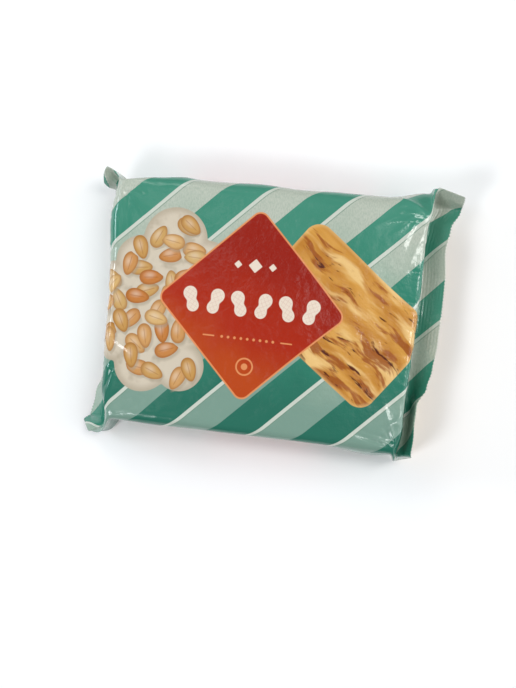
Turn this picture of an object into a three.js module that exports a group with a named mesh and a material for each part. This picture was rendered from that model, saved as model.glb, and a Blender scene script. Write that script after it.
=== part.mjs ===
// A shut flow-wrapped pack of peanut fudge, lying on its back with the printed face up.
//
// The wrapper is one tube of film pulled tight round a flat brick and sealed across both ends. Each end
// folds the way such a pack does: the film of the face comes down the end, the film of the back comes up
// it, and the film of the two long sides turns outwards into an ear at each corner. Past that fold the two
// layers lie together as a ribbed, crimped fin.
//
// Lengths are in millimetres. X runs along the pack, Y across it and Z up out of the face. The origin is the
// middle of the flat back, on the surface that the pack rests on.
import * as THREE from "three";

// Driving dimensions of the wrapped brick and of its film.
const BODY_LENGTH = 114;
const BODY_WIDTH = 92;
const BODY_HEIGHT = 28;
const FIN_WIDTH = 10.2;
const FIN_THICKNESS = 0.8;

// How softly the film turns: half the run of film that each bend takes up.
const SIDE_EDGE_BEND = 4.2;
const END_EDGE_BEND = 1.8;
const CREASE_BEND = 1;
const FIN_ROOT_BEND = 1.2;
const END_LEAN = -0.03; // how far the end walls lean out, for each millimetre from their edge to the fin

// Near the ends the long edges are drawn sharper: by this share, from this far along, over this run.
const TAUT_SHARE = 0.6;
const TAUT_START = 40;
const TAUT_RUN = 16;

// The crimp: ribs that run along the fin, pressed in by the sealing jaws.
const RIB_PITCH = 1.25;
const RIB_DEPTH = 0.24;
const CRIMP_START = 0.8; // from the fin's root to the first rib

// How far each fin stands up (+) or lies down (-) from level, in degrees, at places along it.
const RIGHT_FIN_ANGLES = [
  [-58, 66],
  [-44, 72],
  [-36, 77],
  [-28, 76],
  [-21, 52],
  [-14, 37],
  [-4, 22],
  [10, 14],
  [24, 20],
  [38, 26],
  [48, 8],
  [58, 2],
];
const LEFT_FIN_ANGLES = [
  [-58, -42],
  [-47, -44],
  [-38, -56],
  [-28, -76],
  [-18, -82],
  [0, -84],
  [36, -82],
  [48, -76],
  [58, -72],
];
const FIN_CURL = 3.2; // the run of film over which a fin turns to its angle

// How each corner's ear is bent, in degrees: swing turns it from the line of the end out along the pack
// over the first `bend` millimetres, and lift turns it up (+) or down (-) over the first LIFT_BEND.
const EARS = {
  rightTop: { swing: 16, lift: 62, bend: 5 },
  rightBottom: { swing: 30, lift: -80, bend: 5 },
  leftTop: { swing: 64, lift: 50, bend: 7.5 },
  leftBottom: { swing: 62, lift: -35, bend: 8 },
};
const LIFT_BEND = 3;

// Slack in the film: how far each long side stands out at mid-height, at places along the pack, and how
// far each end's folded edge and the root of its fin stand out, at places across it.
const TOP_SIDE_SLACK = [
  [-57, -1.8],
  [-44, 0.4],
  [-34, 1.9],
  [-26, 1.1],
  [-6, 2.2],
  [10, 1.4],
  [25, 2.3],
  [42, 2.3],
  [57, 5.2],
];
const BOTTOM_SIDE_SLACK = [
  [-57, 0.2],
  [-30, 0.4],
  [0, 0.2],
  [28, 0.6],
  [46, 2.4],
  [57, 1.2],
];
const RIGHT_EDGE_SLACK = [
  [-46, -2.4],
  [-38, -0.2],
  [-10, 0.4],
  [8, 0.9],
  [20, 1.3],
  [36, 1.4],
  [46, 1.4],
];
const LEFT_EDGE_SLACK = [
  [-46, -5],
  [-34, -3.4],
  [-10, -1.4],
  [12, -0.6],
  [32, 1.2],
  [46, 0.4],
];
const RIGHT_ROOT_SLACK = [
  [-46, -0.8],
  [-38, 0],
  [20, 0],
  [30, -0.8],
  [39, 0.4],
  [46, 2.8],
];
const LEFT_ROOT_SLACK = [
  [-46, -3],
  [-34, -2.4],
  [-10, -1.4],
  [12, -0.6],
  [32, 0.8],
  [46, 0.4],
];

// Pulls on the film: where on it, over what reach, and how far each one moves it.
const PULLS = [
  { run: 58, girth: 45, reach: 5.5, move: [0.5, -4.6, -0.5] },
  { run: 56, girth: 58, reach: 8, move: [0, -0.4, 3] },
  { run: -57, girth: 46, reach: 9, move: [0, -0.8, 0] },
  { run: -80, girth: 58, reach: 22, move: [-1.5, -5.5, 0] },
  { run: -68, girth: -60, reach: 12, move: [0, 4.5, 0] },
];

// Slow waves of the face, with their lengths over one radian, and how far each end wall dips and waves.
const FACE_WAVE = 0.35;
const FACE_WAVE_RUN = 13;
const FACE_WAVE_GIRTH = 15;
const FACE_WAVE_SKEW = 40;
const FACE_WAVE_START = 0.6;
const RIGHT_END_DIP = 0.6;
const LEFT_END_DIP = -1;
const END_WAVE = 0.45;
const END_WAVE_RUN = 9;
const DIP_MARGIN = 12; // from a long edge of the pack to the full dip

// How far apart the two layers of film in an ear lie, and over what film they open and close.
const EAR_THICKNESS = 0.8;
const EAR_OPENING = 4;
const EAR_CLOSING = 2;

// Shares of an end's fold after which its crease is sharp and the waves of the face are gone.
const SHARP_AFTER = 0.45;
const CALM_AFTER = 0.33;
const EDGE_CALM = 3; // how far down a side the waves of the face are gone
const SIDE_MARGIN = 26; // how far in from a long side its slack is gone from the end walls

// The steps of the film's mesh: over the face along and across the pack, in its bends and in its folds.
const FACE_STEP = 8.5;
const FACE_STEP_ACROSS = 6.6;
const END_EDGE_REACH = 6; // how far in from an end's edge the mesh is fine
const END_EDGE_STEPS = 4;
const SIDE_EDGE_STEP = 1.4;
const FOLD_STEPS = 8;
const SIDE_STEPS = 8;
const ROOT_STEP = 0.4;

const FOLD_RUN = (BODY_HEIGHT - FIN_THICKNESS) / 2; // film from an end's edge to the root of its fin
const HALF_GIRTH = BODY_WIDTH + BODY_HEIGHT; // half the way round the tube of film
const HALF_FILM = BODY_LENGTH / 2 + FOLD_RUN + FIN_WIDTH; // from the middle of the pack to a fin's cut edge
const DEGREE = Math.PI / 180;

const clamp01 = (t) => Math.min(1, Math.max(0, t));
const mix = (a, b, t) => a + (b - a) * t;
const smooth = (t) => clamp01(t) ** 2 * (3 - 2 * clamp01(t));

// 0 before the bend and the full distance past it, with a soft turn over `soft` on either side.
function past(distance, soft) {
  if (distance <= -soft) return 0;
  if (distance >= soft) return distance;
  return (distance + soft) ** 2 / (4 * soft);
}

// A smooth curve through [place, value] pairs.
function along(place, stations) {
  if (place <= stations[0][0]) return stations[0][1];
  for (let i = 1; i < stations.length; i++) {
    const [from, low] = stations[i - 1];
    const [to, high] = stations[i];
    if (place < to) return mix(low, high, smooth((place - from) / (to - from)));
  }
  return stations[stations.length - 1][1];
}

// Where a strip of film gets to that turns steadily to `angle` over `turn`, then goes on straight.
function bentRun(run, angle, turn) {
  const turned = Math.min(run, turn);
  const now = (angle * turned) / turn;
  const nearlyStraight = Math.abs(angle) < 1e-4;
  const ahead = nearlyStraight ? turned : (turn / angle) * Math.sin(now);
  const aside = nearlyStraight ? 0 : (turn / angle) * (1 - Math.cos(now));
  const rest = Math.max(0, run - turn);
  return {
    ahead: ahead + rest * Math.cos(angle),
    aside: aside + rest * Math.sin(angle),
    angle: now,
  };
}

// The zigzag of the crimp, at a distance past the fin's root.
function ribs(distance) {
  const t = (distance - CRIMP_START) / RIB_PITCH;
  if (t <= 0) return 0;
  return RIB_DEPTH * (1 - 4 * Math.abs(t - Math.floor(t) - 0.5));
}

// The place of one point of the film. `run` goes along the pack from its middle, and `girth` goes round the
// tube from the middle line of the face, where half the tube either way meets on the back.
function filmPoint(run, girth) {
  const end = Math.sign(run) || 1;
  const side = Math.sign(girth) || 1;
  const far = Math.abs(run);
  const round = Math.abs(girth);
  const corner = EARS[(end > 0 ? "right" : "left") + (side > 0 ? "Top" : "Bottom")];

  // An end's edge lies further in or out at places across the pack, and its film is so much longer or shorter.
  const folding = round > HALF_GIRTH / 2 ? HALF_GIRTH - round : round;
  const across = side * Math.min(folding, BODY_WIDTH / 2);
  const slack = along(across, end > 0 ? RIGHT_EDGE_SLACK : LEFT_EDGE_SLACK);
  const rootSlack = along(across, end > 0 ? RIGHT_ROOT_SLACK : LEFT_ROOT_SLACK);

  // How much of the end's fold the film has gone through here, and how far past the fin's root it is.
  const beyond = past(far - BODY_LENGTH / 2 - FOLD_RUN, FIN_ROOT_BEND);
  const downEnd = past(far - BODY_LENGTH / 2 - slack, END_EDGE_BEND) - beyond;
  const progress = downEnd / (FOLD_RUN - slack);
  const folded = FOLD_RUN * progress;

  // The tube's section: a soft-cornered rectangle that gets lower and wider as the end folds.
  const halfWidth = BODY_WIDTH / 2 + folded;
  const height = BODY_HEIGHT - 2 * folded;
  const taut = Math.max(smooth(progress / SHARP_AFTER), TAUT_SHARE * smooth((far - TAUT_START) / TAUT_RUN));
  const bend = mix(SIDE_EDGE_BEND, CREASE_BEND, taut);
  const overTop = past(round - halfWidth, bend);
  const underSide = past(round - halfWidth - height, bend);
  const drop = overTop - underSide;
  let y = round - overTop - underSide;
  let z = BODY_HEIGHT - folded - drop;
  let x = far - downEnd - beyond + (rootSlack + END_LEAN * FOLD_RUN - slack) * progress;

  // Slack: the long sides stand out, the face has slow waves, and the end walls dip or swell.
  const upWall = clamp01(z / BODY_HEIGHT);
  const belly = 4 * upWall * (1 - upWall);
  const atSide = smooth((y - BODY_WIDTH / 2 + SIDE_MARGIN) / SIDE_MARGIN);
  const sideSlack = along(run, side > 0 ? TOP_SIDE_SLACK : BOTTOM_SIDE_SLACK);
  const bulge = sideSlack * (1 - smooth(progress)) * belly * atSide;
  const calm = (1 - smooth(progress / CALM_AFTER)) * smooth(1 - drop / EDGE_CALM);
  const alongFace = Math.sin(run / FACE_WAVE_RUN + FACE_WAVE_START);
  z += FACE_WAVE * calm * alongFace * Math.cos(girth / FACE_WAVE_GIRTH + run / FACE_WAVE_SKEW);
  const onWall = Math.sin(Math.PI * clamp01(progress)) * smooth((BODY_WIDTH / 2 - y) / DIP_MARGIN);
  x -= (end > 0 ? RIGHT_END_DIP : LEFT_END_DIP) * onWall;
  x += END_WAVE * onWall * Math.sin((side * y) / END_WAVE_RUN + end);
  x += EAR_THICKNESS * smooth(folded / EAR_OPENING) * (1 - Math.exp((y - halfWidth) / EAR_CLOSING));

  // The fin turns up or down about its root.
  const angle = along(side * y, end > 0 ? RIGHT_FIN_ANGLES : LEFT_FIN_ANGLES) * DEGREE;
  const fin = bentRun(beyond, angle, FIN_CURL);
  const layer = z - BODY_HEIGHT / 2 + ribs(beyond);
  if (beyond > 0) {
    x += fin.ahead - layer * Math.sin(fin.angle);
    z = BODY_HEIGHT / 2 + fin.aside + layer * Math.cos(fin.angle);
  }

  // The ear swings about the corner of the brick and lifts as it goes out.
  const out = y - BODY_WIDTH / 2;
  if (out > 0 && folded > 0) {
    const raised = bentRun(out, corner.lift * DEGREE, LIFT_BEND);
    const swung = bentRun(raised.ahead, corner.swing * DEGREE, corner.bend);
    const reach = x - BODY_LENGTH / 2;
    x = BODY_LENGTH / 2 + swung.aside + reach * Math.cos(swung.angle);
    y = BODY_WIDTH / 2 + swung.ahead - reach * Math.sin(swung.angle);
    z += raised.aside;
  }
  const point = new THREE.Vector3(end * x, side * (y + bulge), z);
  for (const pull of PULLS) {
    const away = ((run - pull.run) ** 2 + (girth - pull.girth) ** 2) / pull.reach ** 2;
    point.addScaledVector(new THREE.Vector3(...pull.move), Math.exp(-away));
  }
  return point.toArray();
}

// Places from `from` to `to` in even steps of about `step`, without the last.
function steps(from, to, step) {
  const count = Math.max(1, Math.round((to - from) / step));
  return Array.from({ length: count }, (_, i) => from + ((to - from) * i) / count);
}

// Stations along half of the pack: wide over the flat face, fine where the film bends, two for each rib.
function runStations() {
  const edge = BODY_LENGTH / 2;
  return [
    ...steps(0, edge - END_EDGE_REACH, FACE_STEP),
    ...steps(edge - END_EDGE_REACH, edge, END_EDGE_REACH / END_EDGE_STEPS),
    ...steps(edge, edge + FOLD_RUN, FOLD_RUN / FOLD_STEPS),
    ...steps(edge + FOLD_RUN, edge + FOLD_RUN + CRIMP_START, ROOT_STEP),
    ...steps(edge + FOLD_RUN + CRIMP_START, HALF_FILM, RIB_PITCH / 2),
    HALF_FILM,
  ];
}

// Stations round a quarter of the tube, from the middle of the face to the fold of an ear.
function girthStations() {
  const edge = BODY_WIDTH / 2;
  return [
    ...steps(0, edge - SIDE_EDGE_BEND, FACE_STEP_ACROSS),
    ...steps(edge - SIDE_EDGE_BEND, edge, SIDE_EDGE_STEP),
    ...steps(edge, HALF_GIRTH / 2, BODY_HEIGHT / 2 / SIDE_STEPS),
    HALF_GIRTH / 2,
  ];
}

// The closed skin of the whole wrapper.
function wrapperGeometry() {
  const half = runStations();
  const runs = [...half.slice(1).reverse().map((r) => -r), ...half];
  const quarter = girthStations();
  const upper = [...quarter.slice(1).reverse().map((g) => -g), ...quarter];
  const lower = quarter
    .slice(0, -1)
    .reverse()
    .map((g) => HALF_GIRTH - g);
  const girths = [...upper, ...lower, ...lower.slice(0, -1).reverse().map((g) => -g)];
  const around = girths.length;
  const positions = runs.flatMap((r) => girths.flatMap((g) => filmPoint(r, g)));
  const index = [];
  const at = (i, j) => i * around + ((j + around) % around);
  const quad = (a, b, c, d, otherWay) =>
    otherWay ? index.push(a, b, d, b, c, d) : index.push(a, b, c, a, c, d);

  // The diagonals of the grid lie along the creases that run from the brick's corners to the ears.
  for (let i = 0; i + 1 < runs.length; i++)
    for (let j = 0; j < around; j++) {
      const g = (girths[j] + (girths[(j + 1) % around] ?? 0)) / 2;
      const wraps = Math.abs(girths[j] - girths[(j + 1) % around]) > HALF_GIRTH;
      const onTop = !wraps && Math.abs(g) < HALF_GIRTH / 2;
      const rising = Math.sign(runs[i] + runs[i + 1]) * Math.sign(g) * (onTop ? 1 : -1) > 0;
      quad(at(i, j), at(i + 1, j), at(i + 1, j + 1), at(i, j + 1), !rising);
    }

  // The two cut edges, each closed by a strip between the fin's two layers.
  const first = upper.length - 1;
  for (const [i, flip] of [[0, false], [runs.length - 1, true]])
    for (let j = 0; j < first; j++) {
      const a = at(i, j);
      const b = at(i, j + 1);
      const c = at(i, 2 * first - j - 1);
      const d = at(i, 2 * first - j);
      const corners = flip ? [d, c, b, a] : [a, b, c, d];
      const [p, q, r, t] = corners;
      if (q !== r) index.push(p, q, r);
      if (t !== p && r !== t) index.push(p, r, t);
    }
  const geometry = new THREE.BufferGeometry();
  geometry.setAttribute("position", new THREE.Float32BufferAttribute(positions, 3));
  geometry.setIndex(index);
  geometry.computeVertexNormals();
  return geometry;
}

const printedFilm = new THREE.MeshStandardMaterial({
  color: 0x3f9a80,
  roughness: 0.28,
  metalness: 0,
});

const pack = new THREE.Group();
const wrapper = new THREE.Mesh(wrapperGeometry(), printedFilm);
wrapper.name = "wrapped_fudge_pack";
pack.add(wrapper);

export default pack;
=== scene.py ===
"""A shut flow-wrapped pack of peanut fudge, lying on its back and seen from above.

The CAD solid holds the pack's form. Here the same film is laid out again much more finely, with the slack,
creases and crimped ribs of real film, and printed with stripes, a red label and simple fields of colour.

Lengths are in millimetres until the mesh is made. The film has its own coordinates: `run` goes along the
pack from its middle, and `girth` goes round the tube from the middle line of the face.
"""

import math

import bpy
import numpy as np
from mathutils import Euler, Matrix, Vector


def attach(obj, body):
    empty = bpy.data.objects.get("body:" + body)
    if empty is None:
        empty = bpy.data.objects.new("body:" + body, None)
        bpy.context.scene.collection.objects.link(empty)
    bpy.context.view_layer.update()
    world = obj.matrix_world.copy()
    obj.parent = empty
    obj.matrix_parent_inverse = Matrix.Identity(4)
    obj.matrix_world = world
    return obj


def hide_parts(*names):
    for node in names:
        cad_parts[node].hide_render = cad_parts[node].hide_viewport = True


MM = 0.001
DEGREE = math.pi / 180
NODE = "wrapped_fudge_pack"

# The wrapped brick and its film, as in the solid, but with thinner fins and other bends at the ends.
BODY_LENGTH = 114.0
BODY_WIDTH = 92.0
BODY_HEIGHT = 28.0
FIN_WIDTH = 10.2
FIN_THICKNESS = 0.3
SIDE_EDGE_BEND = 4.2
END_EDGE_BEND = 1.5
LEFT_EDGE_BEND = 2.6
CREASE_BEND = 0.7
FIN_ROOT_BEND = 0.9
END_LEAN = -0.03
FIN_CURL = 3.2
LIFT_BEND = 3.0

# Near the ends the long edges are drawn sharper: by this share, from this far along the pack, over this way.
TAUT_SHARE = 0.6
TAUT_START = 40.0
TAUT_RUN = 16.0

# Slow waves of the face, each with its length over one radian, and how far each end wall dips and waves.
FACE_WAVE = 0.35
FACE_WAVE_RUN = 13.0
FACE_WAVE_GIRTH = 15.0
FACE_WAVE_SKEW = 40.0
FACE_WAVE_START = 0.6
RIGHT_END_DIP = 0.6
LEFT_END_DIP = -1.0
END_WAVE = 0.45
END_WAVE_RUN = 9.0
DIP_MARGIN = 12.0

# How far the two layers of film in an ear are apart, and over what film they open and close.
EAR_THICKNESS = 0.8
EAR_OPENING = 4.0
EAR_CLOSING = 2.0

# Shares of an end's fold after which its crease is sharp and the waves of the face are gone.
SHARP_AFTER = 0.45
CALM_AFTER = 0.33

# How far down past a long edge the waves are gone, and from how far inside a long side its slack sets in.
EDGE_CALM = 3.0
SIDE_MARGIN = 26.0

# Angles of the fins from level at places across the pack. Then slack: of the long sides at places along the
# pack, and of the end edges and the fins' roots at places across it.
RIGHT_FIN_ANGLES = [
    (-58, 66), (-44, 72), (-36, 77), (-28, 76), (-21, 52), (-14, 37), (-4, 22), (10, 14), (24, 20), (38, 26),
    (48, 8), (58, 2),
]
LEFT_FIN_ANGLES = [
    (-58, -42), (-47, -44), (-38, -56), (-28, -76), (-18, -82), (0, -84), (36, -82), (48, -76), (58, -72),
]
TOP_SIDE_SLACK = [
    (-57, -1.8), (-44, 0.4), (-34, 1.9), (-26, 1.1), (-6, 2.2), (10, 1.4), (25, 2.3), (42, 2.3), (57, 5.2),
]
BOTTOM_SIDE_SLACK = [(-57, 0.2), (-30, 0.4), (0, 0.2), (28, 0.6), (46, 2.4), (57, 1.2)]
RIGHT_EDGE_SLACK = [(-46, -2.4), (-38, -0.2), (-10, 0.4), (8, 0.9), (20, 1.3), (36, 1.4), (46, 1.4)]
LEFT_EDGE_SLACK = [(-46, -5.0), (-34, -3.4), (-10, -1.4), (12, -0.6), (32, 1.2), (46, 0.4)]
RIGHT_ROOT_SLACK = [(-46, -0.8), (-38, 0), (20, 0), (30, -0.8), (39, 0.4), (46, 2.8)]
LEFT_ROOT_SLACK = [(-46, -3.0), (-34, -2.4), (-10, -1.4), (12, -0.6), (32, 0.8), (46, 0.4)]

# Each ear's swing and lift in degrees, and the run of film that its swing takes.
EARS = {
    (1, 1): (16, 62, 5.0),
    (1, -1): (30, -80, 5.0),
    (-1, 1): (64, 50, 7.5),
    (-1, -1): (62, -35, 8.0),
}

# Pulls on the film: where on it, over what reach, and how far each one moves it.
PULLS = [
    ((58, 45), 5.5, (0.5, -4.6, -0.5)),
    ((56, 58), 8.0, (0.0, -0.4, 3.0)),
    ((-57, 46), 9.0, (0.0, -0.8, 0.0)),
    ((-80, 58), 22.0, (-1.5, -5.5, 0.0)),
    ((-68, -60), 12.0, (0.0, 4.5, 0.0)),
]

FOLD_RUN = (BODY_HEIGHT - FIN_THICKNESS) / 2
HALF_GIRTH = BODY_WIDTH + BODY_HEIGHT
HALF_FILM = BODY_LENGTH / 2 + FOLD_RUN + FIN_WIDTH

# The crimp that the sealing jaws press into the fins, here deeper and there shallower by a noise in metres.
# Then the zigzag of the fins' cut edges.
RIB_PITCH = 1.25
RIB_DEPTH = 0.16
CRIMP_START = 0.8
PRESSING_GRAIN = 90.0
PRESSING_SPAN = (0.3, 0.75)
TOOTH_PITCH = 1.2
TOOTH_DEPTH = 0.5

# The steps of the film's mesh, how far in from an edge they are short, and a short way to probe directions.
FACE_STEP = 1.2
FOLD_STEP = 0.6
STEPS_IN_RIB = 4
EDGE_REACH = 9.0
PROBE = 0.05

# Stand-ins for an angle and a length of nothing, which can't be divided by.
SMALLEST_ANGLE = 1e-4
SMALLEST_LENGTH = 1e-9

# Creases that only the finished film shows: where each starts and stops, its width and its height.
MAIN_CREASES = [
    ((61, 46), (36, 48.5), 0.6, 0.9),
    ((58, 40), (40, 37), 1.0, -0.35),
    ((57, 36), (50, 14), 1.2, 0.3),
    ((-58, 42), (-42, 37), 0.8, 0.4),
    ((-50, 44), (-47, 38), 0.5, -0.5),
    ((-54, 40), (-51, 12), 1.4, -0.3),
    ((-56, -14), (-40, -23), 0.8, 0.6),
    ((-56, -36), (-47, -17), 0.9, -0.5),
    ((-57, -26), (-44, -31), 0.7, 0.35),
    ((58, -30), (46, -44), 0.8, 0.4),
    ((56, -42), (36, -38), 0.9, -0.35),
]
CREASE_SEED = 11

# A crease rises and sinks over these shares of its length. Its width starts at a share and grows along it.
CREASE_RISE = 0.15
CREASE_SINK = 0.6
CREASE_SPREAD = 0.5
CREASE_NARROWEST = 0.4

# Small creases at each corner of the face: how many, how far in they meet, and the ranges for the rest.
CORNER_CREASES = 9
CORNER_INSET = 1
CORNER_BEARINGS = (8, 82)
CORNER_LENGTHS = (7, 24)
CORNER_STARTS = (0.5, 4)
CORNER_HEIGHTS = (0.12, 0.4)
CORNER_WIDTHS = (0.5, 1.1)

# Gathers across the end edges: how far to either side they go, and the ranges for the rest.
PLEAT_REACH = 44
PLEAT_PITCH = 5.5
PLEAT_SHIFTS = (-2, 2)
PLEAT_TILTS = (-2.5, 2.5)
PLEAT_DOWN = (8, 12)
PLEAT_IN = (2, 9)
PLEAT_HEIGHTS = (0.1, 0.35)
PLEAT_WIDTHS = (0.5, 0.9)

# Slow waves of slack film, and how high each is for its length.
WAVES = 9
WAVE_LENGTHS = (14, 44)
WAVE_SHARE = 0.0011

# The relief fades out past a fin's root, and past this place round the tube.
RELIEF_PAST_ROOT = 2
RELIEF_ROUND = 66
RELIEF_FADE = 6

# The print's middle is a little off the middle of the face, and the film is slightly stretched.
PRINT_SHIFT = (3.0, -1.7)
PRINT_STRETCH = (0.991, 1.009)

# How far up the print lies at places across each fin, and elsewhere about a place on the film.
RIGHT_FIN_DRIFT = [(-58, 10.5), (-44, 10.0), (-18, 4.0), (14, 2.2), (44, 0.5), (60, 4.0)]
LEFT_FIN_DRIFT = [(-60, 5.0), (-40, 5.0), (-20, 0.0), (46, 0.0), (60, -7.0)]
DRIFTS = [
    ((46, 4), 22.0, -1.6),
    ((50, 34), 14.0, -1.0),
    ((58, 45), 5.5, 4.2),
    ((-52, -40), 18.0, -1.3),
]


# -------------------------------- how the film lies


def smooth(t):
    t = np.clip(t, 0, 1)
    return t * t * (3 - 2 * t)


def past(distance, soft):
    """0 before a bend and the full distance past it, with a soft turn over `soft` on either side."""
    turning = (distance + soft) ** 2 / (4 * soft)
    return np.where(distance <= -soft, 0, np.where(distance >= soft, distance, turning))


def along(place, stations):
    """A smooth curve through (place, value) pairs."""
    value = np.full(np.shape(place), float(stations[0][1]))
    for (start, low), (stop, high) in zip(stations, stations[1:]):
        share = smooth((place - start) / (stop - start))
        value = np.where(place >= start, low + (high - low) * share, value)
    return value


def bent_run(run, angle, turn):
    """How far ahead and aside a strip gets that turns to `angle` over `turn`, and how far it has turned."""
    angle = np.where(np.abs(angle) < SMALLEST_ANGLE, SMALLEST_ANGLE, angle)
    turned = np.minimum(run, turn)
    now = angle * turned / turn
    rest = np.maximum(0, run - turn)
    ahead = turn / angle * np.sin(now) + rest * np.cos(angle)
    aside = turn / angle * (1 - np.cos(now)) + rest * np.sin(angle)
    return ahead, aside, now


def by_end(end, right, left):
    return np.where(end > 0, right, left)


def ear_facts(end, side):
    """Swing, lift and bend of the ear that each point is nearest to."""
    facts = np.zeros((3,) + np.shape(end))
    for (ear_end, ear_side), values in EARS.items():
        here = (end == ear_end) & (side == ear_side)
        for row, value in zip(facts, values):
            row[here] = value
    return facts


def lay_film(run, girth, press=0.0):
    """Where points of the film lie, and how far each is past its fin's root.

    `press` moves the film of a fin squarely off its place.
    """
    end = np.where(run < 0, -1, 1)
    side = np.where(girth < 0, -1, 1)
    far = np.abs(run)
    around = np.abs(girth)
    swing, raise_angle, ear_bend = ear_facts(end, side)

    # The place of an end's edge varies across the pack, and its film is longer where the edge is drawn in.
    across = np.where(around > HALF_GIRTH / 2, HALF_GIRTH - around, around)
    across = side * np.minimum(across, BODY_WIDTH / 2)
    slack = by_end(end, along(across, RIGHT_EDGE_SLACK), along(across, LEFT_EDGE_SLACK))
    root_slack = by_end(end, along(across, RIGHT_ROOT_SLACK), along(across, LEFT_ROOT_SLACK))
    beyond = past(far - BODY_LENGTH / 2 - FOLD_RUN, FIN_ROOT_BEND)
    down_end = past(far - BODY_LENGTH / 2 - slack, by_end(end, END_EDGE_BEND, LEFT_EDGE_BEND)) - beyond
    progress = down_end / (FOLD_RUN - slack)
    folded = FOLD_RUN * progress

    # The tube keeps its girth, so it widens as its end folds flat. Past a long edge the film turns down.
    half_width = BODY_WIDTH / 2 + folded
    height = BODY_HEIGHT - 2 * folded
    taut = np.maximum(smooth(progress / SHARP_AFTER), TAUT_SHARE * smooth((far - TAUT_START) / TAUT_RUN))
    bend = SIDE_EDGE_BEND + (CREASE_BEND - SIDE_EDGE_BEND) * taut
    over_top = past(around - half_width, bend)
    under_side = past(around - half_width - height, bend)
    drop = over_top - under_side
    y = around - over_top - under_side
    z = BODY_HEIGHT - folded - drop
    x = far - down_end - beyond + (root_slack + END_LEAN * FOLD_RUN - slack) * progress

    # The slack of the long sides, the face's slow waves, the end walls' dips and waves, the ears' layers.
    up_wall = np.clip(z / BODY_HEIGHT, 0, 1)
    belly = 4 * up_wall * (1 - up_wall)
    at_side = smooth((y - BODY_WIDTH / 2 + SIDE_MARGIN) / SIDE_MARGIN)
    side_slack = np.where(side > 0, along(run, TOP_SIDE_SLACK), along(run, BOTTOM_SIDE_SLACK))
    bulge = side_slack * (1 - smooth(progress)) * belly * at_side
    calm = (1 - smooth(progress / CALM_AFTER)) * smooth(1 - drop / EDGE_CALM)
    along_face = np.sin(run / FACE_WAVE_RUN + FACE_WAVE_START)
    z = z + FACE_WAVE * calm * along_face * np.cos(girth / FACE_WAVE_GIRTH + run / FACE_WAVE_SKEW)
    on_wall = np.sin(np.pi * np.clip(progress, 0, 1)) * smooth((BODY_WIDTH / 2 - y) / DIP_MARGIN)
    x = x - by_end(end, RIGHT_END_DIP, LEFT_END_DIP) * on_wall
    x = x + END_WAVE * on_wall * np.sin(side * y / END_WAVE_RUN + end)
    x = x + EAR_THICKNESS * smooth(folded / EAR_OPENING) * (1 - np.exp((y - half_width) / EAR_CLOSING))

    # A fin leaves the middle of its end wall and turns to its angle.
    angle = by_end(end, along(side * y, RIGHT_FIN_ANGLES), along(side * y, LEFT_FIN_ANGLES)) * DEGREE
    ahead, aside, turned = bent_run(beyond, angle, FIN_CURL)
    layer = z - BODY_HEIGHT / 2 + press
    in_fin = beyond > 0
    x = np.where(in_fin, x + ahead - layer * np.sin(turned), x)
    z = np.where(in_fin, BODY_HEIGHT / 2 + aside + layer * np.cos(turned), z)

    # What is wider than the brick at an end is an ear, which is raised and swung.
    out = np.where(folded > 0, np.maximum(0, y - BODY_WIDTH / 2), 0)
    raised_ahead, raised_up, _ = bent_run(out, raise_angle * DEGREE, LIFT_BEND)
    swung_ahead, swung_out, swung = bent_run(raised_ahead, swing * DEGREE, ear_bend)
    reach = x - BODY_LENGTH / 2
    in_ear = out > 0
    x = np.where(in_ear, BODY_LENGTH / 2 + swung_out + reach * np.cos(swung), x)
    y = np.where(in_ear, BODY_WIDTH / 2 + swung_ahead - reach * np.sin(swung), y)
    z = np.where(in_ear, z + raised_up, z)
    points = np.stack([end * x, side * (y + bulge), z], -1)
    for (run_there, girth_there), reach_of_pull, move in PULLS:
        away = ((run - run_there) ** 2 + (girth - girth_there) ** 2) / reach_of_pull**2
        points = points + np.exp(-away)[..., None] * np.array(move)
    return points, beyond


# -------------------------------- creases and slack


def even(start, stop, step):
    count = max(1, round((stop - start) / step))
    return np.linspace(start, stop, count, endpoint=False)


def film_grid():
    """Places along the film, places round it from an ear's fold, and how many of those are on the face."""
    edge = BODY_LENGTH / 2
    root = edge + FOLD_RUN
    crimp = root + CRIMP_START
    half = np.concatenate([
        even(0, edge - EDGE_REACH, FACE_STEP),
        even(edge - EDGE_REACH, root, FOLD_STEP),
        even(root, crimp, FOLD_STEP),
        even(crimp, HALF_FILM, RIB_PITCH / STEPS_IN_RIB),
        [HALF_FILM],
    ])
    quarter = np.linspace(0, HALF_GIRTH / 2, round(HALF_GIRTH / TOOTH_PITCH) + 1)
    upper = np.concatenate([-quarter[:0:-1], quarter])
    lower = HALF_GIRTH - quarter[-2::-1]
    girths = np.concatenate([upper, lower, -lower[-2::-1]])
    return np.concatenate([-half[:0:-1], half]), girths, len(upper)


def skin_normals(points):
    """The outward direction of the film at each point of its grid."""
    along_run = np.gradient(points, axis=0)
    round_girth = np.roll(points, -1, axis=1) - np.roll(points, 1, axis=1)
    normals = np.cross(along_run, round_girth)
    return normals / np.maximum(np.linalg.norm(normals, axis=-1, keepdims=True), SMALLEST_LENGTH)


def crease(run, girth, start, stop, width, height):
    """A sharp-backed ridge along a line of the film, or a valley where the height is negative."""
    start, stop = np.array(start, float), np.array(stop, float)
    length = np.linalg.norm(stop - start)
    line = (stop - start) / length
    ahead = (run - start[0]) * line[0] + (girth - start[1]) * line[1]
    aside = np.abs((girth - start[1]) * line[0] - (run - start[0]) * line[1])
    fade = smooth(ahead / (CREASE_RISE * length)) * smooth((length - ahead) / (CREASE_SINK * length))
    spread = width * np.maximum(CREASE_NARROWEST, CREASE_SPREAD + ahead / length)
    return height * fade * np.exp(-aside / spread)


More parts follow.
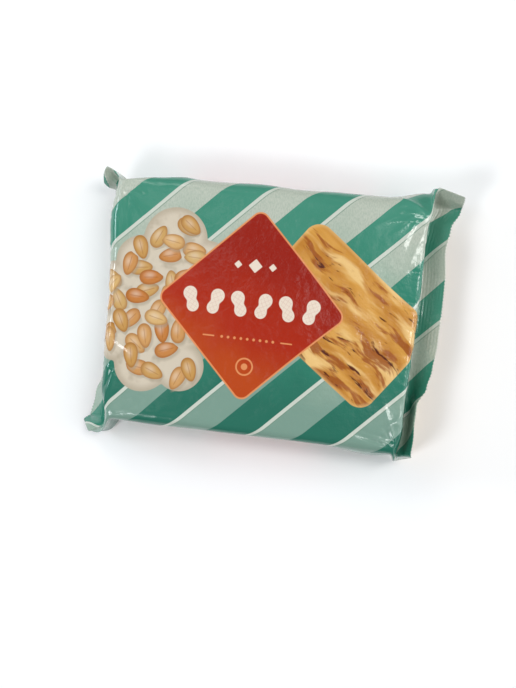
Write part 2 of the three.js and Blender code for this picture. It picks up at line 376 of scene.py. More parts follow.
def corner_creases(run, girth):
    """Creases that fan out from the corners of the face, where the folded ends pull the film tight."""
    rng = np.random.default_rng(CREASE_SEED)
    relief = np.zeros_like(run)
    for start, stop, width, height in MAIN_CREASES:
        relief += crease(run, girth, start, stop, width, height)
    for end in (-1, 1):
        for side in (-1, 1):
            inset = np.array([BODY_LENGTH, BODY_WIDTH]) / 2 - CORNER_INSET
            corner = np.array([end, side]) * inset
            for _ in range(CORNER_CREASES):
                bearing = rng.uniform(*CORNER_BEARINGS) * DEGREE
                length = rng.uniform(*CORNER_LENGTHS)
                aim = np.array([-end * math.cos(bearing), -side * math.sin(bearing)])
                start = corner + aim * rng.uniform(*CORNER_STARTS)
                height = rng.choice([-1, 1]) * rng.uniform(*CORNER_HEIGHTS)
                width = rng.uniform(*CORNER_WIDTHS)
                relief += crease(run, girth, start, start + aim * length, width, height)
    return relief


def edge_pleats(run, girth):
    """Small gathers across the folded edges of the ends."""
    rng = np.random.default_rng(CREASE_SEED + 1)
    relief = np.zeros_like(run)
    for end in (-1, 1):
        for place in np.arange(-PLEAT_REACH, PLEAT_REACH + 1, PLEAT_PITCH):
            at = place + rng.uniform(*PLEAT_SHIFTS)
            down = BODY_LENGTH / 2 + rng.uniform(*PLEAT_DOWN)
            start = (end * down, at + rng.uniform(*PLEAT_TILTS))
            stop = (end * (BODY_LENGTH / 2 - rng.uniform(*PLEAT_IN)), at)
            height = rng.choice([-1, 1]) * rng.uniform(*PLEAT_HEIGHTS)
            width = rng.uniform(*PLEAT_WIDTHS)
            relief += crease(run, girth, start, stop, width, height)
    return relief


def slow_waves(run, girth):
    """Soft unevenness of film over the block."""
    rng = np.random.default_rng(CREASE_SEED + 2)
    relief = np.zeros_like(run)
    for _ in range(WAVES):
        bearing = rng.uniform(0, math.pi)
        length = rng.uniform(*WAVE_LENGTHS)
        turn = rng.uniform(0, 2 * math.pi)
        place = run * math.cos(bearing) + girth * math.sin(bearing)
        relief += np.sin(place / length * 2 * math.pi + turn) * length
    return relief * WAVE_SHARE


# -------------------------------- the wrapper's mesh


def film_skin(run_places, girth_places):
    """The grid of the film as triangles, with the film's own coordinates at each corner."""
    rows, ring = len(run_places), len(girth_places)
    index = np.arange(rows * ring).reshape(rows, ring)
    low = np.where(girth_places == HALF_GIRTH, -HALF_GIRTH, girth_places)
    high = np.roll(girth_places, -1)
    middle = (low + high) / 2
    after = np.roll(index, -1, axis=1)
    quads = np.stack([index[:-1], index[1:], after[1:], after[:-1]], -1)
    here = np.broadcast_to(run_places[:-1, None], quads.shape[:2])
    there = np.broadcast_to(run_places[1:, None], quads.shape[:2])
    low = np.broadcast_to(low, quads.shape[:2])
    high = np.broadcast_to(high, quads.shape[:2])
    places = np.stack([
        np.stack([here, low], -1), np.stack([there, low], -1),
        np.stack([there, high], -1), np.stack([here, high], -1),
    ], -2)

    # The diagonals lie along the creases that run from the brick's corners to the ears.
    on_face = np.abs(middle) < HALF_GIRTH / 2
    rising = np.sign(here + there) * np.sign(middle) * np.where(on_face, 1, -1) > 0
    pattern = np.where(rising[..., None], [0, 1, 2, 0, 2, 3], [0, 1, 3, 1, 2, 3])
    triangles = np.take_along_axis(quads, pattern, -1).reshape(-1, 3)
    corners = np.take_along_axis(places, pattern[..., None], -2).reshape(-1, 3, 2)
    return triangles, corners


def cut_edges(run_places, girth_places, on_face):
    """The strips that close the two layers of each fin at its cut edge."""
    rows, ring = len(run_places), len(girth_places)
    last = on_face - 1
    triangles, corners = [], []
    for row, flip in ((0, False), (rows - 1, True)):
        for column in range(last):
            upper = [column, column + 1]
            lower = [(2 * last - column - 1) % ring, (2 * last - column) % ring]
            strip = upper + lower
            if flip:
                strip.reverse()
            for half in ((0, 1, 2), (0, 2, 3)):
                picked = [strip[corner] for corner in half]
                if len(set(picked)) == 3:
                    triangles.append([row * ring + place for place in picked])
                    corners.append([(run_places[row], girth_places[column])] * 3)
    return np.array(triangles), np.array(corners, float)


def print_places(places):
    """Where points of the film lie on the print, in its millimetres."""
    run, girth = places[..., 0], places[..., 1]
    around = np.abs(girth)
    across = np.sign(girth) * np.minimum(around, HALF_GIRTH - around)
    up = by_end(run, along(across, RIGHT_FIN_DRIFT), along(across, LEFT_FIN_DRIFT))
    up = up * smooth((np.abs(run) - BODY_LENGTH / 2) / FOLD_RUN)
    for (run_there, girth_there), reach, drift in DRIFTS:
        up = up + drift * np.exp(-((run - run_there) ** 2 + (girth - girth_there) ** 2) / reach**2)
    printed = places / PRINT_STRETCH + PRINT_SHIFT
    printed[..., 1] -= up
    return printed


def store(mesh, name, kind, field, values):
    attribute = mesh.attributes.new(name, kind, "POINT")
    attribute.data.foreach_set(field, np.asarray(values, np.float32).ravel())


def wrapper_mesh():
    """The film as a closed mesh, with the facts that the crimp needs at each point."""
    run_places, girth_places, on_face = film_grid()
    run, girth = np.meshgrid(run_places, girth_places, indexing="ij")
    plain, beyond = lay_film(run, girth)
    share = 1 - smooth(beyond / RELIEF_PAST_ROOT)
    share = share * (1 - smooth((np.abs(girth) - RELIEF_ROUND) / RELIEF_FADE))
    relief = share * (corner_creases(run, girth) + edge_pleats(run, girth) + slow_waves(run, girth))
    points = plain + skin_normals(plain) * relief[..., None]
    points[..., 2] = np.maximum(points[..., 2], 0)

    skin, skin_places = film_skin(run_places, girth_places)
    strips, strip_places = cut_edges(run_places, girth_places, on_face)
    triangles = np.concatenate([skin, strips])
    places = np.concatenate([skin_places, strip_places])

    mesh = bpy.data.meshes.new("printed_wrapper")
    mesh.vertices.add(run.size)
    mesh.vertices.foreach_set("co", (points * MM).ravel())
    mesh.loops.add(triangles.size)
    mesh.loops.foreach_set("vertex_index", triangles.ravel())
    mesh.polygons.add(len(triangles))
    mesh.polygons.foreach_set("loop_start", np.arange(len(triangles)) * 3)
    smooth_faces = np.arange(len(triangles)) < len(skin)
    mesh.polygons.foreach_set("use_smooth", smooth_faces)
    mesh.update(calc_edges=True)
    printed = print_places(places).astype(np.float32)
    mesh.uv_layers.new(name="film").data.foreach_set("uv", printed.ravel())

    pressed, _ = lay_film(run, girth, press=PROBE)
    reached, _ = lay_film(run + PROBE * np.sign(run), girth)
    around = np.abs(girth)
    store(mesh, "past_root", "FLOAT", "value", beyond * MM)
    store(mesh, "across", "FLOAT", "value", np.minimum(around, HALF_GIRTH - around) * MM)
    store(mesh, "press", "FLOAT_VECTOR", "vector", (pressed - plain) / PROBE)
    store(mesh, "outward", "FLOAT_VECTOR", "vector", (reached - plain) / PROBE)
    return mesh


# -------------------------------- node trees


# How softly an outline in the print ends, in millimetres to each side of it.
OUTLINE_SOFT = 0.12


class Value:
    """A number that flows through a node tree. Sums on it add the nodes for them."""

    def __init__(self, tree, socket):
        self.tree = tree
        self.socket = socket

    def __add__(self, other):
        return self.tree.math("ADD", self, other)

    def __sub__(self, other):
        return self.tree.math("SUBTRACT", self, other)

    def __rsub__(self, other):
        return self.tree.math("SUBTRACT", other, self)

    def __mul__(self, other):
        return self.tree.math("MULTIPLY", self, other)

    def __truediv__(self, other):
        return self.tree.math("DIVIDE", self, other)

    def __abs__(self):
        return self.tree.math("ABSOLUTE", self)

    __radd__ = __add__
    __rmul__ = __mul__


class Tree:
    """A node tree that is built by plain calls."""

    def __init__(self, tree):
        self.tree = tree

    def join(self, value, socket):
        value = value.socket if isinstance(value, Value) else value
        if isinstance(value, bpy.types.NodeSocket):
            self.tree.links.new(value, socket)
        else:
            socket.default_value = value

    def node(self, kind, inputs=(), **settings):
        node = self.tree.nodes.new(kind)
        for name, value in settings.items():
            setattr(node, name, value)
        for name, value in dict(inputs).items():
            self.join(value, node.inputs[name])
        return node

    def math(self, operation, *values, clamp=False):
        node = self.node("ShaderNodeMath", operation=operation, use_clamp=clamp)
        for value, socket in zip(values, node.inputs):
            self.join(value, socket)
        return Value(self, node.outputs[0])

    def vector(self, operation, *values):
        node = self.node("ShaderNodeVectorMath", operation=operation)
        for value, socket in zip(values, node.inputs):
            self.join(value, socket)
        return node.outputs["Vector"]

    def times(self, vector, factor):
        node = self.node("ShaderNodeVectorMath", {0: vector, "Scale": factor}, operation="SCALE")
        return node.outputs["Vector"]

    def apart(self, one, other):
        """The distance between two places."""
        node = self.node("ShaderNodeVectorMath", {0: one, 1: other}, operation="DISTANCE")
        return Value(self, node.outputs["Value"])

    def split(self, vector):
        node = self.node("ShaderNodeSeparateXYZ", {"Vector": vector})
        return Value(self, node.outputs["X"]), Value(self, node.outputs["Y"])

    def paired(self, x, y):
        return self.node("ShaderNodeCombineXYZ", {"X": x, "Y": y}).outputs[0]

    def turned(self, vector, angle):
        """A place turned about the origin by an angle in radians."""
        settings = {"Vector": vector, "Angle": angle}
        return self.node("ShaderNodeVectorRotate", settings, rotation_type="Z_AXIS").outputs[0]

    def placed(self, place, centre, turn=0.0, size=(1, 1, 1), kind="TEXTURE"):
        """A place in a frame with its own centre, turn and unit, or with POINT one taken back out of it."""
        settings = {
            "Vector": place,
            "Location": (*centre, 0),
            "Rotation": (0, 0, turn * DEGREE),
            "Scale": size,
        }
        return self.node("ShaderNodeMapping", settings, vector_type=kind).outputs[0]

    def grain(self, place, scale, detail=2.0, roughness=0.5):
        settings = {"Vector": place, "Scale": scale, "Detail": detail, "Roughness": roughness}
        return Value(self, self.node("ShaderNodeTexNoise", settings).outputs["Fac"])

    def blend(self, share, under, over):
        node = self.node("ShaderNodeMix", data_type="RGBA")
        sockets = [socket for socket in node.inputs if socket.enabled]
        for value, socket in zip((share, under, over), sockets):
            self.join(value, socket)
        return next(socket for socket in node.outputs if socket.enabled)

    def fade(self, value, start, stop):
        """0 at `start` and 1 at `stop`, smoothly, whichever of them is the greater."""
        settings = {"Value": value, "From Min": start, "From Max": stop}
        node = self.node("ShaderNodeMapRange", settings, interpolation_type="SMOOTHSTEP")
        return Value(self, node.outputs[0])

    def inside(self, distance, soft=OUTLINE_SOFT):
        """1 inside an outline and 0 outside it, from the signed distance to it."""
        return self.fade(distance, soft, -soft)

    def lay(self, distance, under, over, soft=OUTLINE_SOFT):
        """`over` inside an outline and `under` outside it."""
        return self.blend(self.inside(distance, soft), under, over)


# -------------------------------- crimp


# The named inputs of the crimp's node tree, in millimetres.
CRIMP_SIZES = {
    "Rib pitch": RIB_PITCH,
    "Rib depth": RIB_DEPTH,
    "First rib": CRIMP_START,
    "Tooth pitch": TOOTH_PITCH,
    "Tooth depth": TOOTH_DEPTH,
    "Fin width": FIN_WIDTH,
}


def crimp_tree(film):
    """Geometry nodes that press the sealing jaws' ribs into the fins and cut their edges in a zigzag."""
    group = bpy.data.node_groups.new("crimp_and_cut", "GeometryNodeTree")
    face = group.interface
    face.new_socket("Film", in_out="INPUT", socket_type="NodeSocketGeometry")
    for name in CRIMP_SIZES:
        face.new_socket(name, in_out="INPUT", socket_type="NodeSocketFloat")
    face.new_socket("Crimped film", in_out="OUTPUT", socket_type="NodeSocketGeometry")
    tree = Tree(group)
    given = tree.node("NodeGroupInput").outputs

    def fact(name, kind="FLOAT"):
        node = tree.node("GeometryNodeInputNamedAttribute", {"Name": name}, data_type=kind)
        return node.outputs["Attribute"]

    past_root = Value(tree, fact("past_root"))
    sizes = {name: Value(tree, given[name]) for name in CRIMP_SIZES}
    into_ribs = past_root - sizes["First rib"]
    wave = tree.math("SINE", into_ribs / sizes["Rib pitch"] * (2 * math.pi))
    place = tree.node("GeometryNodeInputPosition").outputs[0]
    pressing = tree.fade(tree.grain(place, PRESSING_GRAIN), *PRESSING_SPAN)
    depth = sizes["Rib depth"] * pressing * tree.math("GREATER_THAN", into_ribs, 0.0)
    ribs = tree.times(fact("press", "FLOAT_VECTOR"), wave * depth)

    # `tooth` runs between 0 and a half along the zigzag, and `cut` from 0 to 1 over its depth.
    tooth = tree.math("PINGPONG", fact("across"), sizes["Tooth pitch"] * 0.5) / sizes["Tooth pitch"]
    last = past_root - (sizes["Fin width"] - sizes["Tooth depth"])
    cut = tree.math("DIVIDE", last, sizes["Tooth depth"], clamp=True)
    teeth = tree.times(fact("outward", "FLOAT_VECTOR"), tooth * cut * sizes["Tooth depth"] * -2.0)
    offset = tree.vector("ADD", ribs, teeth)
    moved = tree.node("GeometryNodeSetPosition", {"Geometry": given["Film"], "Offset": offset})
    real = tree.node("GeometryNodeRealizeInstances", {"Geometry": moved.outputs[0]})
    coated = tree.node("GeometryNodeSetMaterial", {"Geometry": real.outputs[0], "Material": film})
    tree.node("NodeGroupOutput", {"Crimped film": coated.outputs[0]})
    return group


def crimped_wrapper(film):
    """The printed wrapper, with the crimp made plain in its mesh."""
    blank = bpy.data.objects.new("film_before_crimp", wrapper_mesh())
    bpy.context.scene.collection.objects.link(blank)
    modifier = blank.modifiers.new("crimp", "NODES")
    modifier.node_group = crimp_tree(film)
    for item in modifier.node_group.interface.items_tree:
        if item.name in CRIMP_SIZES:
            modifier[item.identifier] = CRIMP_SIZES[item.name] * MM
    evaluated = blank.evaluated_get(bpy.context.evaluated_depsgraph_get())
    mesh = bpy.data.meshes.new_from_object(evaluated)
    blank.modifiers.clear()
    bpy.data.objects.remove(blank)
    for name in ("past_root", "across", "press", "outward"):
        mesh.attributes.remove(mesh.attributes[name])
    wrapper = bpy.data.objects.new("printed_wrapper", mesh)
    bpy.context.scene.collection.objects.link(wrapper)
    return wrapper


# -------------------------------- print


def colour(red, green, blue):
    """A colour for Blender from the values 0 to 255 that a screen shows."""
    parts = [value / 255 for value in (red, green, blue)]
    linear = [part / 12.92 if part <= 0.04045 else ((part + 0.055) / 1.055) ** 2.4 for part in parts]
    return (*linear, 1.0)


# Tones from the darkest to the palest, and the heights on the face between which each fades into the next.
# For the teal and the sage these tones are painted light and shade: they are paler towards the top of the
# face.
TEALS_SHADE_TO_LIGHT = (colour(38, 106, 88), colour(48, 126, 104), colour(68, 138, 116))
TEAL_LIGHT_HEIGHTS = ((-40.0, -5.0), (5.0, 48.0))
SAGES_SHADE_TO_LIGHT = (colour(118, 150, 136), colour(150, 172, 154), colour(184, 190, 176))
SAGE_LIGHT_HEIGHTS = ((-40.0, 0.0), (0.0, 40.0))
RED = colour(166, 38, 10)
REDS = (colour(146, 26, 8), RED, colour(180, 68, 18))
RED_HEIGHTS = ((22.0, -6.0), (-6.0, -30.0))

SAGE_MARK = colour(126, 150, 134)
LINE_WHITE = colour(196, 202, 190)
LINE_SHADE = colour(104, 134, 116)
PEACH = colour(218, 140, 88)
IVORY = colour(226, 210, 192)
CREAM = colour(204, 192, 172)
CREAM_SHADE = colour(160, 146, 124)
NUT_TONES = (colour(200, 164, 104), colour(188, 136, 66), colour(212, 178, 118), colour(188, 116, 52))
NUT_RIM = colour(140, 80, 28)
GOLD = colour(208, 152, 70)
GOLD_PALE = colour(228, 188, 122)
AMBER = colour(184, 122, 44)
CARAMEL = colour(150, 78, 24)
BROWN = colour(84, 32, 10)
BEIGE = colour(204, 176, 132)
BEIGE_LINE = colour(146, 114, 74)

# The stripes, their white lines and the painted shade beside those, and how the tones vary over the film: in
# random patches, and paler towards the top of the face and on the fins, which is painted light.
STRIPE_PITCH = 31.3
STRIPE_START = 9.3
PALE_STRIPE = 15.3
BORDER_LINE = 0.9
LINE_EDGE = 0.45
LINE_EDGE_SOFT = 0.1
LINE_EDGE_SHARE = 0.7
PATCH_GRAIN = 0.04
PATCH_HEIGHT = 50.0
FIN_PAINTED_LIGHT = 45.0
STROKE_GRAIN = (2.2, 0.8, 1.0)
STROKE_SPAN = (0.6, 0.36)
STROKE_SHARE = 0.35

# A peanut in its shell, for a size of 1: where its two lobes are, the smaller one's size, and its waist.
POD_LOBE = 0.92
POD_TAIL = 0.88
POD_WAIST = 1.3
POD_TILT = 18.0
NET_PITCH = 0.75
NET_LINE = 0.06
NET_SOFT = 0.1
NET_MARGIN = 0.5
NET_SHARE = 0.4

# The cream cloud as round puffs (middle and radius), and its shaded rim and patches.
CLOUD_PUFFS = [
    (-31, 21, 12),
    (-43, 12, 9.5),
    (-54, 1, 10),
    (-50, -13, 12),
    (-38, -24, 11),
    (-24, -25, 9),
    (-34, -4, 20),
    (-19, 9, 13),
]
PUFF_BLEND = 1.5
CLOUD_RIM = 3.5
CLOUD_GRAIN = 0.16
CLOUD_PATCHES = (0.5, 0.7)
CLOUD_SHADE_SHARE = 0.6

# Peanut halves in two layers, each a grid with its turn and seed. The spans are in shares of a half's size.
NUT_LAYERS = ((24, 3.0), (-31, 8.0))
NUT_CELL = (10.5, 8.6, 1.0)
NUT_JITTER = 0.3
NUT_MARGIN = 3.4
NUT_MARGIN_SOFT = 0.01
NUT_SIZE = (4.5, 2.7)
NUT_TAPER = 0.05
NUT_EDGE = (1.02, 0.98)
SHADOW_SHIFT = (0.7, -0.9)
SHADOW_SPAN = (1.25, 0.8)
SHADOW_SHARE = 0.55
GLOW_SHIFT = (-0.6, 0.7)
GLOW_SPAN = (0.7, 0.0)
GLOW_SHARE = 0.4
RIM_SPAN = (0.6, 1.05)
RIM_SHARE = 0.6
TONE_SPAN = (0.45, 0.55)
GROOVE_LINE = 0.15
GROOVE_ENDS = (0.75, 0.5)
GROOVE_SHARE = 0.45

# The rounded slab, and how its marbling sways and is drawn out along it.
SLAB_CENTRE = (33.0, 0.0)
SLAB_TURN = -36.0
SLAB_HALF = (30.0, 21.0)
SLAB_CORNER = 6.0
SLAB_RIM = 1.6
SLAB_RIM_SHARE = 0.5
SWAY = 11.0
SWAY_GRAIN = 0.045
FLOW_GRAIN = (0.035, 0.16)

# Four noises in the marbling: where each is taken from, its scale, its roughness and where it shows.
GOLD_CLOUDS = ((0, 0, 0), 0.9, 0.5, (0.38, 0.6))
PALE_CLOUDS = ((5, 9, 0), 1.1, 0.5, (0.5, 0.66))
VEINS = ((7, 3, 0), 1.5, 0.6, (0.54, 0.64))
STREAKS = ((2, 13, 0), 2.4, 0.6, (0.62, 0.68))
VEIN_SHARE = 0.9
BESIDE_VEINS = (0.42, 0.5)
DARKER_DOWN = (14.0, -16.0)
DARKER_SHARE = 0.06

# The red label: its size, its tones' slant and patches, and the ornaments round its row of peanuts.
LABEL_HALF = 35.0
LABEL_CORNER = 3.0
LABEL_RIM = 0.6
LABEL_SLANT = 0.4
LABEL_GRAIN = 0.05
LABEL_PATCH = 24.0
LABEL_PODS = (9.0, 6, 2.55)
LABEL_MARKS = (((0, 14.5), 2.6), ((-6.5, 14.5), 1.5), ((6.5, 14.5), 1.5))
MARK_CORNER = 0.3
DOT_ROW = -12.4
DOT_PITCH = 2.4
DOT_SIZE = 0.5
DOTS_REACH = 10.8
DASH_CENTRE = 14.6
DASH_HALF = (2.2, 0.25)
DASH_CORNER = 0.2
RING_CENTRE = (0, -22.5, 0)
RING_SIZE = 3.0
RING_LINE = 0.3
RING_DOT = 1.2

# The panels on the long sides: their middle line round the tube, then the rhombus and the bar on it.
PANEL_CENTRE = 62.5
RHOMBUS_CENTRE = (-32, 0)
RHOMBUS_HALF = 9.75
RHOMBUS_CORNER = 1.5
PANEL_MARK = 3.2
PANEL_MARK_CORNER = 0.4
BAR_CENTRE = (7.5, 0)
BAR_HALF = 28.8
BAR_RISE = 9.7
PANEL_PODS = (6.6, 6, 1.8)

# The back: where it starts round the tube, its clouds of tone, its thin frame and its seam.
BACK_START = 73.0
BACK_GRAIN = 0.05
BACK_SPAN = (0.4, 0.65)
BACK_SHARE = 0.4
FRAME_INSET = 4.0
FRAME_HALF = 52.0
FRAME_LINE = 0.2
SEAM_EDGE = 108.0
SEAM_LINE = 0.3
SEAM_SOFT = 0.3

# The film's gloss and its fine unevenness, which is a broad grain with a share of a small one.
FILM_ROUGHNESS = 0.17
BUMP_DEPTH = 0.25
BROAD_GRAIN = 0.22
SMALL_GRAIN = 1.4
SMALL_SHARE = 0.07


def shaded(tree, height, tones, heights):
    """Tones that follow each other over a height, each fading into the next."""
    tone = tones[0]
    for next_tone, span in zip(tones[1:], heights):
        tone = tree.blend(tree.fade(height, *span), tone, next_tone)
    return tone


def rounded_box(tree, place, half_size, radius):
    """The distance outside a box with rounded corners about the middle of the place given."""
    corner = (half_size[0] - radius, half_size[1] - radius, 0)
    reach = tree.vector("SUBTRACT", tree.vector("ABSOLUTE", place), corner)
    outer = tree.apart(tree.vector("MAXIMUM", reach, (0, 0, 0)), (0, 0, 0))
    inner = tree.math("MINIMUM", tree.math("MAXIMUM", *tree.split(reach)), 0.0)
    return outer + inner - radius


def rhombus(tree, place, centre, half_diagonal, radius):
    """The distance outside a rhombus with equal diagonals and rounded corners."""
    half_side = half_diagonal / math.sqrt(2)
    return rounded_box(tree, tree.placed(place, centre, 45), (half_side, half_side), radius)


def pod(tree, place, size):
    """The distance outside a peanut in its shell, seen from the side."""
    near = tree.apart(place, (-POD_LOBE * size, 0, 0)) - size
    far = tree.apart(place, (POD_LOBE * size, 0, 0)) - size * POD_TAIL
    return tree.math("SMOOTH_MIN", near, far, size * POD_WAIST)


def lay_pods(tree, place, row, under):
    """A row of peanuts in their shells, tilted by turns to either side, with a net of fine lines on each."""
    pitch, count, size = row
    along_row, up = tree.split(place)
    half = pitch * count / 2
    step = tree.math("FLOOR", (along_row + half) / pitch)
    tilt = (tree.math("FLOORED_MODULO", step, 2.0) - 0.5) * (2 * POD_TILT * DEGREE) + math.pi / 2
    within = tree.paired(along_row + half - (step + 0.5) * pitch, up)
    lying = tree.turned(within, tilt)
    distance = tree.math("MAXIMUM", pod(tree, lying, size), abs(along_row) - half)
    length, width = tree.split(lying)
    slants = (length + width, length - width)
    to_lines = [tree.math("PINGPONG", slant, size * NET_PITCH / 2) for slant in slants]
    net = tree.inside(tree.math("MINIMUM", *to_lines) - NET_LINE, NET_SOFT)
    net = net * tree.inside(distance + NET_MARGIN)
    return tree.lay(distance, under, tree.blend(net * NET_SHARE, IVORY, RED))


def stripes(tree, place, u, v):
    """Pale stripes on teal that rise to the right, each with a white line along its upper side."""
    across = v - u - STRIPE_START
    within = tree.math("FLOORED_MODULO", across, STRIPE_PITCH)
    to_line = tree.math("PINGPONG", across, STRIPE_PITCH / 2)
    patches = (tree.grain(place, PATCH_GRAIN, 3.0) - 0.5) * PATCH_HEIGHT
    fin_root = BODY_LENGTH / 2 + FOLD_RUN
    on_fin = tree.fade(abs(u - PRINT_SHIFT[0]), fin_root - FOLD_RUN / 2, fin_root)
    # Painted light: the stripes are paler towards the top of the face and paler again on the fins, with
    # random patches of tone besides.
    height = v + patches + on_fin * FIN_PAINTED_LIGHT
    teal = shaded(tree, height, TEALS_SHADE_TO_LIGHT, TEAL_LIGHT_HEIGHTS)
    sage = shaded(tree, height, SAGES_SHADE_TO_LIGHT, SAGE_LIGHT_HEIGHTS)
    strokes = tree.grain(tree.vector("MULTIPLY", place, STROKE_GRAIN), 1.0, 4.0, 0.7)
    sage = tree.blend(tree.fade(strokes, *STROKE_SPAN) * STROKE_SHARE, sage, SAGE_MARK)
    ground = tree.lay(STRIPE_PITCH - PALE_STRIPE - within, teal, sage)
    # Painted shade along the lower side of each white line.
    shade_beside_line = tree.inside(STRIPE_PITCH - BORDER_LINE - LINE_EDGE - within, LINE_EDGE_SOFT)
    ground = tree.blend(shade_beside_line * LINE_EDGE_SHARE, ground, LINE_SHADE)
    return tree.lay(to_line - BORDER_LINE, ground, LINE_WHITE)


def cloud_outline():
    """A node group that gives the distance outside the cream cloud."""
    group = bpy.data.node_groups.new("cream_cloud", "ShaderNodeTree")
    group.interface.new_socket("Place", in_out="INPUT", socket_type="NodeSocketVector")
    group.interface.new_socket("Distance", in_out="OUTPUT", socket_type="NodeSocketFloat")
    tree = Tree(group)
    place = tree.node("NodeGroupInput").outputs["Place"]
    distance = None
    for u, v, radius in CLOUD_PUFFS:
        puff = tree.apart(place, (u, v, 0)) - radius
        distance = puff if distance is None else tree.math("SMOOTH_MIN", distance, puff, PUFF_BLEND)
    tree.node("NodeGroupOutput", {"Distance": distance})
    return group


def cloud_distance(tree, group, place):
    node = tree.node("ShaderNodeGroup", node_tree=group)
    tree.join(place, node.inputs["Place"])
    return Value(tree, node.outputs["Distance"])


def nut_halves(tree, place, cloud, turn, seed, under):
    """Peanut halves over the cloud: one in each cell of a turned grid, at a place and angle of its own."""
    cell_place = tree.placed(place, (seed, -seed), turn, NUT_CELL)
    cell = tree.vector("FLOOR", cell_place)
    chance = tree.node("ShaderNodeTexWhiteNoise", {"Vector": tree.vector("ADD", cell, (seed, seed, seed))})
    shift = tree.times(tree.vector("SUBTRACT", chance.outputs["Color"], (0.5, 0.5, 0.5)), NUT_JITTER)
    middle = tree.vector("ADD", tree.vector("ADD", cell, (0.5, 0.5, 0)), shift)
    centre = tree.placed(middle, (seed, -seed), turn, NUT_CELL, kind="POINT")
    kept = tree.inside(cloud_distance(tree, cloud, centre) + NUT_MARGIN, NUT_MARGIN_SOFT)
    angle = Value(tree, chance.outputs["Value"]) * (2 * math.pi)
    offset = tree.vector("MULTIPLY", tree.vector("SUBTRACT", place, centre), (1, 1, 0))

    def seen_from(shift_of_light):
        """How far out a point is in a half's size, and how far along and across the half."""
        moved = tree.vector("SUBTRACT", offset, (*shift_of_light, 0))
        length, width = tree.split(tree.turned(moved, angle))
        egg = width / (1.0 + length * NUT_TAPER)
        flat = tree.paired(length / NUT_SIZE[0], egg / NUT_SIZE[1])
        return tree.apart(flat, (0, 0, 0)), length, width

    outline, length, width = seen_from((0, 0))
    shadow = seen_from(SHADOW_SHIFT)[0]
    glow = seen_from(GLOW_SHIFT)[0]
    under = tree.blend(kept * tree.fade(shadow, *SHADOW_SPAN) * SHADOW_SHARE, under, CREAM_SHADE)
    drawn = tree.node("ShaderNodeSeparateColor", {"Color": chance.outputs["Color"]}).outputs
    tone = tree.blend(drawn["Red"], NUT_TONES[0], NUT_TONES[1])
    other = tree.blend(drawn["Green"], NUT_TONES[2], NUT_TONES[3])
    nut = tree.blend(tree.fade(drawn["Blue"], *TONE_SPAN), tone, other)
    nut = tree.blend(tree.fade(outline, *RIM_SPAN) * RIM_SHARE, nut, NUT_RIM)
    nut = tree.blend(tree.fade(glow, *GLOW_SPAN) * GLOW_SHARE, nut, IVORY)
    groove_ends = [NUT_SIZE[0] * share for share in GROOVE_ENDS]
    groove = tree.inside(abs(width) - GROOVE_LINE) * tree.fade(abs(length), *groove_ends)
    nut = tree.blend(groove * GROOVE_SHARE, nut, NUT_RIM)
    return tree.blend(kept * tree.fade(outline, *NUT_EDGE), under, nut)


def cream_cloud(tree, place, under):
    """The left field: a scalloped cream cloud with peanut halves strewn over it."""
    cloud = cloud_outline()
    distance = cloud_distance(tree, cloud, place)
    patches = tree.fade(tree.grain(place, CLOUD_GRAIN), *CLOUD_PATCHES)
    shade = tree.math("MAXIMUM", tree.fade(distance, -CLOUD_RIM, 0.0), patches)
    field = tree.lay(distance, under, tree.blend(shade * CLOUD_SHADE_SHARE, CREAM, CREAM_SHADE))
    for turn, seed in NUT_LAYERS:
        field = nut_halves(tree, place, cloud, turn, seed, field)
    return field


def marbled_field(tree, place, under):
    """The right field: a golden rounded slab with wavy caramel and brown marbling."""
    local = tree.placed(place, SLAB_CENTRE, SLAB_TURN)
    length, width = tree.split(local)
    sway = (tree.grain(local, SWAY_GRAIN, 1.5) - 0.5) * SWAY
    flow = tree.paired(length * FLOW_GRAIN[0], (width + sway) * FLOW_GRAIN[1])

    def noise(marbling):
        shift, scale, roughness, _ = marbling
        return tree.grain(tree.vector("ADD", flow, shift), scale, 3.0, roughness)

    def shown(marbling, value):
        return tree.fade(value, *marbling[3])

    marble = tree.blend(shown(GOLD_CLOUDS, noise(GOLD_CLOUDS)), AMBER, GOLD)
    marble = tree.blend(shown(PALE_CLOUDS, noise(PALE_CLOUDS)), marble, GOLD_PALE)
    darker = tree.fade(width, *DARKER_DOWN) * DARKER_SHARE
    veins = noise(VEINS)
    marble = tree.blend(shown(VEINS, veins + darker) * VEIN_SHARE, marble, CARAMEL)
    streaks = shown(STREAKS, noise(STREAKS) + darker) * tree.fade(veins, *BESIDE_VEINS)
    marble = tree.blend(streaks, marble, BROWN)
    distance = rounded_box(tree, local, SLAB_HALF, SLAB_CORNER)
    marble = tree.blend(tree.fade(distance, -SLAB_RIM, 0.0) * SLAB_RIM_SHARE, marble, GOLD_PALE)
    return tree.lay(distance, under, marble)


